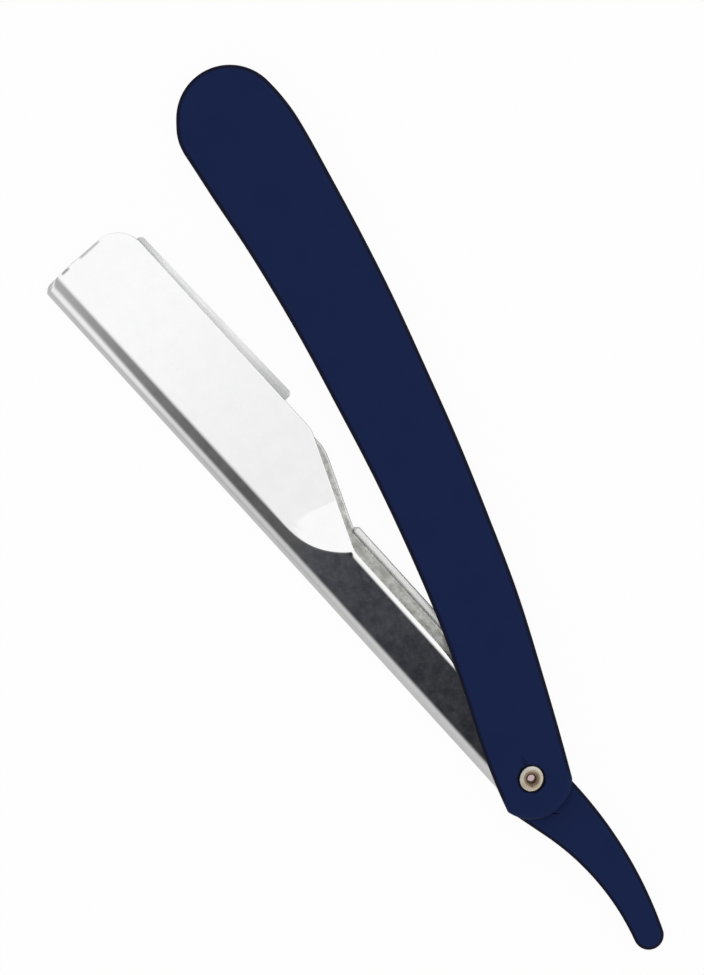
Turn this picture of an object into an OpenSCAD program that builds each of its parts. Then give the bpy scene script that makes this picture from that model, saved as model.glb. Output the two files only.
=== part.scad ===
// Folding barber's razor that takes half of a double-edge blade.
// Two moulded scales turn on a hollow eyelet with a folded steel blade arm, a moulded tail and,
// inside the arm, a flat blade carrier that swings out by its thumb tab to take the blade.
// Millimetres. The origin is on the eyelet's axis, midway between the scales. +X runs along the
// handle, +Y is the side that the blade opens from and +Z points out of the front scale.
// The arm, carrier and blade are drawn with +x to the tip and +y to the spine, then turned open.

/* [Handle] */
// Thickness of each scale
scale_t = 2.5; // [2:0.1:3.5]
// Radius that rounds the outer rim of each scale
scale_rim_r = 0.9; // [0.3:0.1:1.5]
// Radius of the pivot end of each scale, about the eyelet
pivot_end_r = 7.0; // [6.8:0.1:7.6]
// Distance along the handle from the eyelet to its narrowest place
waist_x = 45.5; // [42:0.5:50]
// Distance from the eyelet's line to the front edge at that place
waist_front = 3.05; // [2.5:0.05:4]
// Radius of the long hollow of the front edge
front_r = 430; // [410:1:460]
// Radius of the hollow of the front edge towards the eyelet
throat_r = 215; // [180:5:260]
// Place where the throat's hollow takes over from the long one
throat_x = 40; // [34:0.5:42]
// Radius of the swelling of the front edge at the eyelet
heel_r = 119; // [90:1:150]
// Place where that swelling starts
heel_x = 14; // [10:0.5:16]
// Place of the fullest part of the back edge
belly_x = 72.3; // [68:0.1:76]
// Distance from the eyelet's line to the back edge at that place
belly = 12.8; // [12.4:0.05:14]
// Radius of the long bow of the back edge
back_r = 445; // [435:1:450]
// Radius of the crown of the far end
crown_r = 9.2; // [8.6:0.1:9.4]
// Radius of the flatter brow between the crown and the far end's front corner
brow_r = 24; // [20:1:30]
// Angle from the handle's line at which the brow takes over from the crown
brow_angle = 64; // [60:1:66]
// Radius of the far end's front corner
end_front_r = 8.2; // [7.4:0.1:8.6]
// Radius of the far end on the back side
end_back_r = 33; // [25:1:45]
// Length of the wedge between the scales, from its hollow face to the far end
wedge_len = 13.95; // [12:0.05:20]
// Distance that the wedge lies inside the rim of the scales
wedge_inset = 0.3; // [0:0.1:1]
// Radius of the pegs that join wedge and scales
peg_r = 1.3; // [0.8:0.1:1.8]
// Height of those pegs
peg_h = 1.2; // [0.6:0.1:1.5]
// Distance between the two pegs across the handle
peg_spread = 8; // [6:0.5:9]

/* [Pivot] */
// Radius of the hole through the eyelet
eyelet_bore_r = 0.65; // [0.5:0.05:0.75]
// Radius of the eyelet's barrel
barrel_r = 1.25; // [1.1:0.05:1.6]
// Radius of the eyelet's flanges
flange_r = 2.2; // [2:0.05:2.8]
// Thickness of the eyelet's flanges
flange_t = 0.5; // [0.4:0.05:0.8]
// Width of the funnel round the hole at each mouth of the eyelet
mouth_w = 0.5; // [0.3:0.05:0.6]
// Depth of those funnels
mouth_depth = 1.2; // [0.8:0.1:1.4]
// Radius that rounds the lip of each funnel
lip_r = 0.2; // [0.1:0.05:0.3]
// Depth of the flanges below the faces of the scales
flange_sink = 0.1; // [0:0.05:0.3]
// Gap round the flanges in their seats
flange_gap = 0.2; // [0.05:0.05:0.4]
// Thickness of the washer under the flange that is rolled over at the back
eyelet_washer_t = 0.3; // [0.2:0.05:0.5]
// Thickness of the washers between the scales and the blade arm
pivot_washer_t = 0.35; // [0.2:0.05:0.6]
// Radius of those washers
pivot_washer_r = 4.2; // [3:0.1:5]

/* [Blade arm] */
// Angle between arm and handle as the razor lies
open_angle = 17.9; // [12:0.1:25]
// Thickness of the folded arm over its shank and spine
fold_t = 3.8; // [3.4:0.1:4.6]
// Thickness of the sheet that it is folded from
sheet_t = 0.5; // [0.4:0.05:0.6]
// Distance from the eyelet to the outside of the spine
spine = 5.55; // [5.2:0.05:6]
// Distance from the eyelet to the front edge of the shank
shank_edge = 3.7; // [3.4:0.05:4.2]
// Outer radius of the curled front edges of the shank
curl_r = 0.85; // [0.7:0.05:1]
// Radius of the end of the arm about the eyelet
arm_end_r = 6.3; // [6.1:0.05:6.5]
// Length from the eyelet to the shoulder
shank_len = 49.3; // [42:0.1:60]
// Length of the slope of the shoulder along the arm
shoulder_run = 20.4; // [14:0.1:26]
// Length of the straight front edge of the head
head_len = 48.85; // [47:0.05:54]
// Distance from the arm's line to the front edge of the head at the shoulder
head_edge_heel = 12.35; // [11.8:0.05:13]
// The same distance at the tip
head_edge_tip = 12.25; // [11.8:0.05:12.6]
// Thickness of the folded head at its front edge
head_edge_t = 2.3; // [2.2:0.05:2.6]
// Radius of the head's corner at the shoulder
shoulder_r = 4; // [2:0.1:6]
// Radius of the head's corner at the tip
tip_r = 4.3; // [2:0.1:6]
// Radius of the corner between tip and spine
spine_tip_r = 2.5; // [1:0.1:4]
// Distance from the outside of the spine to the crease of the sloping panels
crease_in = 3.3; // [2.8:0.05:4.2]
// Radius of the scooped end of the panels where they run out into the shank
scoop_r = 16.5; // [12:0.1:20]
// Distance from the shoulder to the place where the scoop leaves the crease
scoop_lead = 12.4; // [10:0.1:14]

/* [Tail] */
// Length from the eyelet to the end of the tail
tail_len = 36.1; // [30:0.1:42]
// Radius of the tail's outer bow, on the side of the cutting edge
tail_bow_r = 72; // [64:0.5:80]
// Distance along the tail to the start of that bow
tail_bow_x = 6.5; // [5:0.1:8]
// Distance from the arm's line to the bow at its start
tail_bow_y = 4.9; // [4.6:0.05:5.2]
// Radius of the tail's hollow, on the side of the spine
tail_hollow_r = 44; // [40:0.5:50]
// Distance from the arm's line to the deepest part of the hollow
tail_hollow_y = 3.6; // [3:0.05:4]
// Slant of the straight run from the hollow to the eyelet, under the scales
tail_root_slant = 13.8; // [10:0.1:18]
// Distance along the tail from the eyelet to the end of that run
tail_root_x = 2.2; // [1.6:0.1:3]
// Radius of the tail's round tip
tail_tip_r = 2.6; // [2.2:0.05:3]
// Radius that rounds the rims of the tail
tail_rim_r = 0.7; // [0.3:0.05:1]
// Length of the tail's cheeks inside the arm, ahead of the eyelet
cheek_len = 10; // [7:0.5:16]
// Radius of the rivets that hold the tail in the arm
tail_rivet_r = 0.6; // [0.4:0.05:0.7]
// Distance from the eyelet to those rivets
tail_rivet_x = 5.05; // [4.9:0.05:5.2]
// Angle that each of those rivets stands off the tail's line
tail_rivet_angle = 15; // [12:1:20]

/* [Blade carrier] */
// Thickness of the carrier's plate
plate_t = 0.5; // [0.4:0.05:0.6]
// Radius of the carrier's eye
eye_r = 3.5; // [3:0.1:3.7]
// Width of the carrier on each side of its line, inside the shank
stem_half = 2.6; // [2.2:0.1:2.7]
// Distance from the arm's line to the outside of the thumb tab
tab_edge = 7.2; // [6.2:0.1:8]
// Length of the tab from its ramp to its outer end
tab_len = 26.5; // [18:0.5:32]
// Length of the ramp from the stem out to the tab
tab_ramp = 5; // [3:0.5:8]
// Distance that the tab reaches past the start of the shoulder
tab_lead = 3.2; // [2:0.1:5]
// Radius of the rolled bead along the tab
bead_r = 0.65; // [0.4:0.05:0.8]
// Distance that the carrier shows beyond the slope of the shoulder
carrier_show = 1.35; // [0.6:0.05:1.8]
// Distance that the carrier stays inside the front edge of the head
carrier_inset = 1.0; // [0.6:0.05:1.4]
// Distance that the carrier stays inside the tip of the head
carrier_tip_inset = 1.3; // [0.8:0.1:1.8]
// Radius of the blade studs
stud_r = 1.4; // [1:0.05:1.8]
// Height of the blade studs above the plate
stud_h = 0.25; // [0.2:0.05:0.3]
// Distance between the two blade studs
stud_spread = 27; // [20:0.5:32]

/* [Blade] */
// Length of the half blade over its end tabs
blade_len = 43; // [41:0.1:44.5]
// Length of its cutting edge
blade_edge_len = 37.7; // [35:0.1:39]
// Width from the broken side to the cutting edge
blade_w = 11; // [10.5:0.05:11.5]
// Thickness of the blade
blade_t = 0.1; // [0.08:0.01:0.12]
// Width of the ground bevel
bevel_w = 0.7; // [0.4:0.05:1]
// Thickness left at the cutting edge
bevel_t = 0.02; // [0.01:0.005:0.03]
// Depth of the steps beside the cutting edge, at the end tabs
blade_step = 2.6; // [2:0.1:3.2]
// Length of the chamfer at each end of the cutting edge
blade_chamfer = 0.6; // [0.3:0.1:1]
// Distance that the cutting edge stands out of the head at its middle
blade_show = 1.4; // [1:0.05:1.8]
// Angle between cutting edge and spine
blade_skew = 1.3; // [0.8:0.1:1.6]
// Distance from the tip of the head to the end of the blade
blade_tip_gap = 2.0; // [1.7:0.05:2.6]

/* [Fits] */
// Radial clearance of every piece that turns on the eyelet's barrel
pivot_clear = 0.05; // [0.03:0.01:0.08]
// Clearance between the pivot washers and the arm
face_clear = 0.05; // [0.03:0.01:0.1]
// Clearance on each side of the carrier between the tail's cheeks
slot_clear = 0.15; // [0.1:0.05:0.2]
// Clearance of pegs and rivets that are bonded or pressed in their holes
seat_clear = 0.02; // [0.01:0.01:0.05]
// Clearance between the tail's cheeks and the inside of the arm
cheek_clear = 0.05; // [0.03:0.01:0.1]
// Clearance of the studs in the notches of the blade
notch_clear = 0.2; // [0.1:0.05:0.4]
// Clearance between the tip of the arm and the hollow face of the wedge
tip_clear = 1.1; // [0.6:0.1:2]

/* [Hidden] */
$fn = 64;
eps = 0.5;
navy = [0.10, 0.14, 0.27];
steel = [0.78, 0.79, 0.81];
dull_steel = [0.66, 0.67, 0.66];
brass = [0.80, 0.72, 0.52];

// The stack across the pivot
fold_r = fold_t / 2;
half_gap = fold_r + face_clear + pivot_washer_t;
half_stack = half_gap + scale_t;
pivot_hole_r = barrel_r + pivot_clear;
flange_hole_r = flange_r + flange_gap;
front_seat = half_stack - flange_sink - flange_t;
back_seat = front_seat - eyelet_washer_t;

// Lengths along the arm
arm_len = shank_len + shoulder_run + head_len;
shoulder_end = shank_len + shoulder_run;
tip_reach = norm([arm_len, spine]);
wedge_face_r = tip_reach + tip_clear;
handle_len = wedge_face_r + wedge_len;

// Places across the arm
roll_y = spine - fold_r;
crease_y = spine - crease_in;
panel_tilt = atan((fold_t - head_edge_t) / 2 / (head_edge_heel + crease_y));
scoop_x = shank_len + scoop_lead;

// The carrier and the blade lie one on the other, midway between the leaves of the arm
plate_z = -(plate_t + blade_t) / 2;
blade_z = plate_z + plate_t;

// The blade's own middle and the arm's front edge there
blade_x = arm_len - blade_tip_gap - blade_len / 2;
edge_slope = (head_edge_heel - head_edge_tip) / head_len;
edge_at_blade = head_edge_tip + edge_slope * (arm_len - blade_x);
blade_broken_y = blade_w - edge_at_blade - blade_show;

// Unit vector at an angle, and the bearing from one point to another
function dir(a) = [cos(a), sin(a)];
function bearing(p, q) = atan2(q[1] - p[1], q[0] - p[0]);

// Points of an arc, with and without its last point
function arc(c, r, a0, a1, n) = [for (i = [0:n]) c + r * dir(a0 + (a1 - a0) * i / n)];
function open_arc(c, r, a0, a1, n) = [for (i = [0:n - 1]) c + r * dir(a0 + (a1 - a0) * i / n)];

// Crossing of two circles, on the left of the way from the first centre to the second
function crossing(c1, r1, c2, r2) =
    let (d = norm(c2 - c1))
    let (e = (c2 - c1) / d)
    let (a = (r1 * r1 - r2 * r2 + d * d) / (2 * d))
    c1 + a * e + sqrt(r1 * r1 - a * a) * [-e[1], e[0]];

// Arc of radius r that rounds the corner q between the points p and s
function rounded(p, q, s, r, n = 8) =
    let (u = (p - q) / norm(p - q))
    let (w = (s - q) / norm(s - q))
    let (half = acos(u * w) / 2)
    let (c = q + (u + w) / norm(u + w) * r / sin(half))
    let (a0 = bearing(c, q + u * r / tan(half)))
    let (a1 = bearing(c, q + w * r / tan(half)))
    let (turn = (a1 - a0 + 540) % 360 - 180)
    arc(c, r, a0, a0 + turn, n);

// Centres of the arcs of the handle's outline
front_c = [waist_x, waist_front + front_r];
throat_a = -90 + asin((throat_x - waist_x) / front_r);
throat_c = front_c + (front_r - throat_r) * dir(throat_a);
heel_a = -90 + asin((heel_x - throat_c[0]) / throat_r);
heel_c = throat_c + (throat_r + heel_r) * dir(heel_a);
back_c = [belly_x, back_r - belly];
crown_x = handle_len - crown_r;
crown_front = front_c[1] - sqrt(pow(front_r, 2) - pow(crown_x - waist_x, 2));
crown_back = back_c[1] - sqrt(pow(back_r, 2) - pow(crown_x - belly_x, 2));
crown_c = [crown_x, (crown_front + crown_back) / 2];
brow_c = crown_c - (brow_r - crown_r) * dir(brow_angle);
end_front_c = crossing(front_c, front_r + end_front_r, brow_c, brow_r - end_front_r);
end_back_c = crossing(crown_c, end_back_r - crown_r, back_c, back_r - end_back_r);

// Outline of a scale, drawn in by d all round: arcs that run smoothly into each other, from the
// pivot end along the back edge, round the far end and home along the front edge
function handle_outline(d) =
    let (heel_corner = crossing(heel_c, heel_r - d, [0, 0], pivot_end_r - d))
    let (back_corner = crossing([0, 0], pivot_end_r - d, back_c, back_r - d))
    concat(
        open_arc(back_c, back_r - d, bearing(back_c, back_corner), bearing(back_c, end_back_c), 24),
        open_arc(end_back_c, end_back_r - d, bearing(back_c, end_back_c),
            bearing(end_back_c, crown_c), 4),
        open_arc(crown_c, crown_r - d, bearing(end_back_c, crown_c), brow_angle, 14),
        open_arc(brow_c, brow_r - d, brow_angle, bearing(brow_c, end_front_c), 2),
        open_arc(end_front_c, end_front_r - d, bearing(brow_c, end_front_c),
            bearing(end_front_c, front_c), 4),
        open_arc(front_c, front_r + d, bearing(front_c, end_front_c), throat_a, 14),
        open_arc(throat_c, throat_r + d, throat_a, heel_a, 8),
        open_arc(heel_c, heel_r - d, heel_a + 180, bearing(heel_c, heel_corner), 4),
        open_arc([0, 0], pivot_end_r - d, bearing([0, 0], heel_corner),
            bearing([0, 0], back_corner) + 360, 14));

// Outline of the tail, drawn in by d: the straight run from its root, its hollow, its round tip and
// its bow, closed under the arm
tail_bow_c = [-tail_bow_x, tail_bow_r - tail_bow_y];
tail_tip_x = tail_tip_r - tail_len;
tail_tip_c = [tail_tip_x,
    tail_bow_c[1] - sqrt(pow(tail_bow_r - tail_tip_r, 2) - pow(tail_tip_x + tail_bow_x, 2))];
tail_hollow_rise = tail_hollow_r + tail_hollow_y - tail_tip_c[1];
tail_hollow_c = tail_tip_c
    + [sqrt(pow(tail_hollow_r + tail_tip_r, 2) - pow(tail_hollow_rise, 2)), tail_hollow_rise];
function tail_run_start(d) =
    tail_hollow_c + (tail_hollow_r + d) * [sin(tail_root_slant), -cos(tail_root_slant)];
function tail_root(d) =
    [-tail_root_x,
        tail_run_start(d)[1] - (tail_root_x + tail_run_start(d)[0]) * tan(tail_root_slant)];
function tail_outline(d) =
    concat(
        [[-arm_end_r / 2, d - tail_bow_y], tail_root(d)],
        open_arc(tail_hollow_c, tail_hollow_r + d, tail_root_slant - 90,
            bearing(tail_hollow_c, tail_tip_c), 14),
        open_arc(tail_tip_c, tail_tip_r - d, bearing(tail_tip_c, tail_hollow_c),
            bearing(tail_bow_c, tail_tip_c) + 360, 14),
        arc(tail_bow_c, tail_bow_r - d, bearing(tail_bow_c, tail_tip_c), -90, 14));

// Solid through a stack of outlines, each at its own height
module loft(rings, heights) {
    n = len(rings[0]);
    m = len(rings);
    walls = [for (k = [0:m - 2], i = [0:n - 1])
        let (j = (i + 1) % n)
        [k * n + i, (k + 1) * n + i, (k + 1) * n + j, k * n + j]];
    polyhedron(
        points = [for (k = [0:m - 1], p = rings[k]) [p[0], p[1], heights[k]]],
        faces = concat([[for (i = [0:n - 1]) i]], walls, [[for (i = [n - 1:-1:0]) (m - 1) * n + i]]));
}

// Profile swept along the arm between two places
module along_arm(x0, x1) {
    translate([x0, 0, 0])
        rotate([90, 0, 90])
            linear_extrude(x1 - x0)
                children();
}

// Slab of the given height, from z0 up
module slab(z0, height) {
    translate([0, 0, z0])
        linear_extrude(height)
            children();
}

// Round hole through the whole stack
module pivot_hole() {
    cylinder(r = pivot_hole_r, h = 2 * half_stack + 2 * eps, center = true);
}

// The arm as it lies at rest
module opened() {
    rotate([0, 0, open_angle])
        children();
}

// The two places of the pegs in the wedge, square to the handle
module at_pegs() {
    for (side = [-1, 1])
        translate([wedge_face_r + wedge_len / 2, side * peg_spread / 2, 0])
            children();
}

// One scale, in its front place: a flat plate with a round outer rim, the seat of the eyelet's
// flange and two blind sockets for the wedge's pegs
module scale_plate(seat) {
    steps = 5;
    rim = [for (i = [0:steps]) 90 * i / steps];
    rings = concat([handle_outline(0)], [for (a = rim) handle_outline(scale_rim_r * (1 - cos(a)))]);
    heights = concat([half_gap], [for (a = rim) half_stack - scale_rim_r * (1 - sin(a))]);
    difference() {
        loft(rings, heights);
        pivot_hole();
        translate([0, 0, seat])
            cylinder(r = flange_hole_r, h = scale_t);
        at_pegs()
            translate([0, 0, half_gap - eps])
                cylinder(r = peg_r + seat_clear, h = peg_h + seat_clear + eps);
    }
}

module front_scale() {
    color(navy)
        scale_plate(front_seat);
}

module back_scale() {
    color(navy)
        mirror([0, 0, 1])
            scale_plate(back_seat);
}

// Block between the scales at the far end, hollowed to let the tip of the arm pass
module end_wedge() {
    color(navy)
        union() {
            slab(-half_gap, 2 * half_gap)
                difference() {
                    polygon(handle_outline(wedge_inset));
                    circle(r = wedge_face_r, $fn = 360);
                }
            at_pegs()
                cylinder(r = peg_r, h = 2 * (half_gap + peg_h), center = true);
        }
}

// Front half of the eyelet's section: barrel, flange with a round rim, and funnel with a round lip
function eyelet_half() =
    let (rim = flange_t / 2)
    let (face = front_seat + flange_t)
    concat(
        [[barrel_r, front_seat], [flange_r, front_seat]],
        arc([flange_r - rim, face - rim], rim, 0, 90, 5),
        arc([eyelet_bore_r + mouth_w + lip_r, face - lip_r], lip_r, 90, 180, 4),
        [[eyelet_bore_r, face - mouth_depth]]);

module pivot_eyelet() {
    last = len(eyelet_half()) - 1;
    back = [for (i = [last:-1:0]) [eyelet_half()[i][0], -eyelet_half()[i][1]]];
    color(brass)
        rotate_extrude()
            polygon(concat(eyelet_half(), back));
}

// Flat ring about the eyelet's barrel
module ring(r, t) {
    linear_extrude(t)
        difference() {
            circle(r = r);
            circle(r = pivot_hole_r);
        }
}

module eyelet_washer() {
    color(brass)
        translate([0, 0, -front_seat])
            ring(flange_r, eyelet_washer_t);
}

module front_pivot_washer() {
    color(brass)
        translate([0, 0, half_gap - pivot_washer_t])
            ring(pivot_washer_r, pivot_washer_t);
}

module back_pivot_washer() {
    color(brass)
        translate([0, 0, -half_gap])
            ring(pivot_washer_r, pivot_washer_t);
}

// Section of the fold, drawn in by d: two flat sides joined by the round spine
function fold_section(d, reach) =
    concat([[-reach, d - fold_r]], arc([roll_y, 0], fold_r - d, -90, 90, 20), [[-reach, fold_r - d]]);

// Section of the shank: the folded sheet with both front edges curled inwards
function shank_section() =
    let (curl_y = curl_r - shank_edge)
    let (curl_z = fold_r - curl_r)
    let (inner_r = curl_r - sheet_t)
    concat(
        arc([roll_y, 0], fold_r, -90, 90, 20),
        arc([curl_y, curl_z], curl_r, 90, 180, 6),
        arc([curl_y, curl_z], inner_r, 180, 90, 6),
        arc([roll_y, 0], fold_r - sheet_t, 90, -90, 20),
        arc([curl_y, -curl_z], inner_r, 270, 180, 6),
        arc([curl_y, -curl_z], curl_r, 180, 270, 6));

// What the sloping front panel takes off the fold, drawn in by d, ending in the scoop
module panel_cut(d) {
    reach = arm_len + head_edge_heel;
    intersection() {
        translate([0, crease_y, fold_r])
            rotate([panel_tilt, 0, 0])
                translate([0, -reach, -d])
                    cube([reach, reach + eps, fold_t]);
        slab(-fold_t, 3 * fold_t)
            polygon(concat(
                [[reach, -reach], [reach, crease_y + eps], [scoop_x, crease_y + eps]],
                arc([scoop_x, crease_y - scoop_r], scoop_r + d, 90, 180, 20),
                [[scoop_x - scoop_r - d, -reach]]));
    }
}

// The folded head, drawn in by d, before its outline is cut
module head_fold(d, x0, x1) {
    difference() {
        along_arm(x0, x1)
            polygon(fold_section(d, head_edge_heel + 2 * eps));
        panel_cut(d);
        mirror([0, 0, 1])
            panel_cut(d);
    }
}

// Outline of the head with its shoulder and its round corners
module head_outline() {
    root = [shank_len, -shank_edge];
    heel = [shoulder_end, -head_edge_heel];
    tip = [arm_len, -head_edge_tip];
    far = [arm_len, spine + fold_r / 4];
    back = [shank_len, spine + fold_r / 4];
    polygon(concat([back, root], rounded(root, heel, tip, shoulder_r),
        rounded(heel, tip, far, tip_r), rounded(tip, far, back, spine_tip_r)));
}

// Outline of the shank's end about the eyelet, run on to the shoulder
module shank_outline() {
    circle(r = arm_end_r);
    translate([0, -arm_end_r])
        square([shank_len, 2 * arm_end_r]);
}

// The two rivets of the tail, as holes or as the rivets themselves
module at_tail_rivets() {
    for (side = [-1, 1])
        rotate([0, 0, 180 + side * tail_rivet_angle])
            translate([tail_rivet_x, 0, 0])
                children();
}

module tail_rivet_holes() {
    at_tail_rivets()
        cylinder(r = tail_rivet_r + seat_clear, h = fold_t + 2 * eps, center = true);
}

// Blade arm: one folded sheet, a channel over the shank that opens into the sloping head
module blade_arm() {
    color(steel)
        opened()
            difference() {
                union() {
                    intersection() {
                        along_arm(-arm_end_r, shank_len)
                            polygon(shank_section());
                        slab(-fold_t, 2 * fold_t)
                            shank_outline();
                    }
                    intersection() {
                        difference() {
                            head_fold(0, shank_len, arm_len);
                            head_fold(sheet_t, shank_len - eps, arm_len + eps);
                        }
                        slab(-fold_t, 2 * fold_t)
                            head_outline();
                    }
                }
                pivot_hole();
                tail_rivet_holes();
            }
}

// Tail: a bowed moulding flush with the arm, and two cheeks inside the arm beside the carrier
module tail() {
    steps = 4;
    rim = [for (i = [0:steps]) 90 * i / steps];
    inset = [for (a = rim) tail_rim_r * (1 - cos(a))];
    height = [for (a = rim) fold_r - tail_rim_r * (1 - sin(a))];
    cheek_half = fold_r - sheet_t - cheek_clear;
    cheek_side = shank_edge - curl_r - cheek_clear;
    cheek_top = roll_y - cheek_clear;
    color(navy)
        opened()
            difference() {
                union() {
                    difference() {
                        loft(
                            [for (d = concat([for (i = [steps:-1:0]) inset[i]], inset)) tail_outline(d)],
                            concat([for (i = [steps:-1:0]) -height[i]], height));
                        cylinder(r = arm_end_r + cheek_clear, h = 2 * fold_t, center = true);
                    }
                    slab(-cheek_half, 2 * cheek_half)
                        intersection() {
                            translate([-2 * arm_end_r, -cheek_side])
                                square([2 * arm_end_r + cheek_len, cheek_side + cheek_top]);
                            union() {
                                circle(r = arm_end_r + 2 * eps);
                                translate([0, -arm_end_r])
                                    square([cheek_len, 2 * arm_end_r]);
                            }
                        }
                }
                slab(plate_z - slot_clear, plate_t + 2 * slot_clear) {
                    circle(r = eye_r + 2 * slot_clear);
                    translate([0, -2 * arm_end_r])
                        square([cheek_len + eps, 4 * arm_end_r]);
                }
                pivot_hole();
                tail_rivet_holes();
            }
}

module tail_rivets() {
    color(steel)
        opened()
            at_tail_rivets()
                cylinder(r = tail_rivet_r, h = fold_t, center = true);
}

// The two places of the blade studs, on the broken side of the blade
module at_studs() {
    for (side = [-1, 1])
        translate([blade_x, 0, 0])
            rotate([0, 0, blade_skew])
                translate([side * stud_spread / 2, blade_broken_y, 0])
                    children();
}

// Outline of the carrier: eye, stem, thumb tab, shoulder and blade seat
module carrier_outline() {
    slope = (head_edge_heel - shank_edge) / shoulder_run;
    edge = head_edge_tip - carrier_inset;
    tab_end = shank_len + tab_lead;
    tip = arm_len - carrier_tip_inset;
    slope_from = shank_edge + carrier_show;
    top = [tab_end, -slope_from - slope * tab_lead];
    heel = [shank_len + (edge - slope_from) / slope, -edge];
    corner = [tip, -edge];
    far = [tip, stem_half];
    circle(r = eye_r);
    polygon(concat(
        [[0, stem_half], [0, -stem_half], [tab_end - tab_len - tab_ramp, -stem_half],
            [tab_end - tab_len, bead_r - tab_edge], [tab_end, bead_r - tab_edge], top, heel],
        rounded(heel, corner, far, tip_r - carrier_tip_inset),
        [far]));
}

// Blade carrier: a flat plate on the eyelet, with a rolled bead along its thumb tab
module blade_carrier() {
    tab_end = shank_len + tab_lead;
    color(dull_steel)
        opened()
            difference() {
                union() {
                    slab(plate_z, plate_t)
                        carrier_outline();
                    translate([tab_end - tab_len, bead_r - tab_edge, plate_z + plate_t])
                        rotate([0, 90, 0])
                            cylinder(r = bead_r, h = tab_len);
                }
                pivot_hole();
                at_studs()
                    cylinder(r = stud_r / 2 + seat_clear, h = fold_t, center = true);
            }
}

// Blade studs: flat heads on the plate with shanks riveted into it
module blade_studs() {
    color(steel)
        opened()
            at_studs() {
                translate([0, 0, blade_z])
                    cylinder(r = stud_r, h = stud_h);
                translate([0, 0, plate_z])
                    cylinder(r = stud_r / 2, h = plate_t);
            }
}

// Half blade, drawn about the middle of its broken side: end tabs, cutting edge and open notches
module blade_outline() {
    half = blade_len / 2;
    edge_half = blade_edge_len / 2;
    notch_r = stud_r + notch_clear;
    difference() {
        polygon([[-half, 0], [-half, blade_step - blade_w], [-edge_half, blade_step - blade_w],
            [-edge_half, blade_chamfer - blade_w], [blade_chamfer - edge_half, -blade_w],
            [edge_half - blade_chamfer, -blade_w], [edge_half, blade_chamfer - blade_w],
            [edge_half, blade_step - blade_w], [half, blade_step - blade_w], [half, 0]]);
        for (x = [-stud_spread / 2, 0, stud_spread / 2])
            translate([x, 0])
                circle(r = notch_r);
    }
}

module razor_blade() {
    color(steel)
        opened()
            translate([blade_x, 0, 0])
                rotate([0, 0, blade_skew])
                    translate([0, blade_broken_y, blade_z])
                        intersection() {
                            linear_extrude(blade_t)
                                blade_outline();
                            along_arm(-blade_len, blade_len)
                                polygon([[eps, 0], [eps, blade_t], [bevel_w - blade_w, blade_t],
                                    [-blade_w, (blade_t + bevel_t) / 2],
                                    [-blade_w, (blade_t - bevel_t) / 2], [bevel_w - blade_w, 0]]);
                        }
}

front_scale();
back_scale();
end_wedge();
pivot_eyelet();
eyelet_washer();
front_pivot_washer();
back_pivot_washer();
blade_arm();
tail();
tail_rivets();
blade_carrier();
blade_studs();
razor_blade();
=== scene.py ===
"""Looks of a folding barber's razor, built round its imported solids.

Shapes are worked out in millimetres in the part's own frame: the origin is on the eyelet's axis,
midway between the scales, +X runs along the handle, +Y is the side that the blade opens from and
+Z points out of the front scale. The arm and what it carries are worked out with +x to the tip and
+y to the spine, and then turned open about the eyelet.
"""
import math

import bmesh
import bpy
import numpy as np
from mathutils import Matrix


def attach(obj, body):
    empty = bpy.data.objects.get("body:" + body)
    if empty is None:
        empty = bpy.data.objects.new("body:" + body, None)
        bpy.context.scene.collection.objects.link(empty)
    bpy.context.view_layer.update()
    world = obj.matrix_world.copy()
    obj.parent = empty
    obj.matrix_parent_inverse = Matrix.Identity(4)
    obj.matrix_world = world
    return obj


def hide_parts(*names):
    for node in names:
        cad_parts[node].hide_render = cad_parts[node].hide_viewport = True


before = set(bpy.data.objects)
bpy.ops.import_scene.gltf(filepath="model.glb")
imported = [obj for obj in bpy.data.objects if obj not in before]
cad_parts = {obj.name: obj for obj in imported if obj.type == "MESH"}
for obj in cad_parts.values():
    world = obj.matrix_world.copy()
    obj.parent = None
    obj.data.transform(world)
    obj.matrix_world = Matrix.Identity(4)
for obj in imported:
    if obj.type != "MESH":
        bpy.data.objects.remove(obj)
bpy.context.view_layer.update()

MM = 0.001

# Handle: arcs of the outline, and the faces of the scales measured from the mid-plane
PIVOT_END_R = 7.0
WAIST_X, WAIST_FRONT = 45.5, 3.05
FRONT_R, THROAT_R, HEEL_R = 430.0, 215.0, 119.0
THROAT_X, HEEL_X = 40.0, 14.0
BELLY_X, BELLY, BACK_R = 72.3, 12.8, 445.0
HANDLE_LEN, CROWN_R, BROW_R, BROW_ANGLE = 133.73, 9.2, 24.0, math.radians(64)
END_FRONT_R, END_BACK_R = 8.2, 33.0
FRONT_SWELLS = ((72.0, 0.15, 10.0), (113.0, 0.20, 7.0))
BACK_SWELLS = ((30.0, -0.25, 11.0), (72.0, 0.14, 10.0), (117.0, -0.13, 6.0))
SCALE_IN, SCALE_OUT = 2.3, 4.8
SCALE_RIM_R, SLOT_RIM_R = 0.9, 0.2
CENTRE_SAG, PIVOT_ZONE_X, CORE_STEPS = 4.6, 6.0, 60
HOLE_CHAMFER, FLAT_MARGIN = 0.08, 0.15
WEDGE_FACE_R, WEDGE_INSET = 119.78, 0.3

# Pivot
EYELET_SEAT, EYELET_FACE, BACK_SEAT = 4.2, 4.7, 3.9
FLANGE_R, FLANGE_HOLE_R, BARREL_R, PIVOT_HOLE_R = 2.2, 2.4, 1.25, 1.3
BORE_R, MOUTH_W, MOUTH_DEPTH = 0.65, 0.5, 1.2
FLANGE_EDGE_R, CROWN_RISE, LIP_FALL = 0.25, 0.06, 0.12
OVAL, OVAL_TURN, FLANGE_TRIM = 0.11, math.radians(46), 0.035
SPLIT_DEPTH, SPLIT_TURN, SPLIT_W = 0.2, math.radians(158), math.radians(9)

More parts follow.
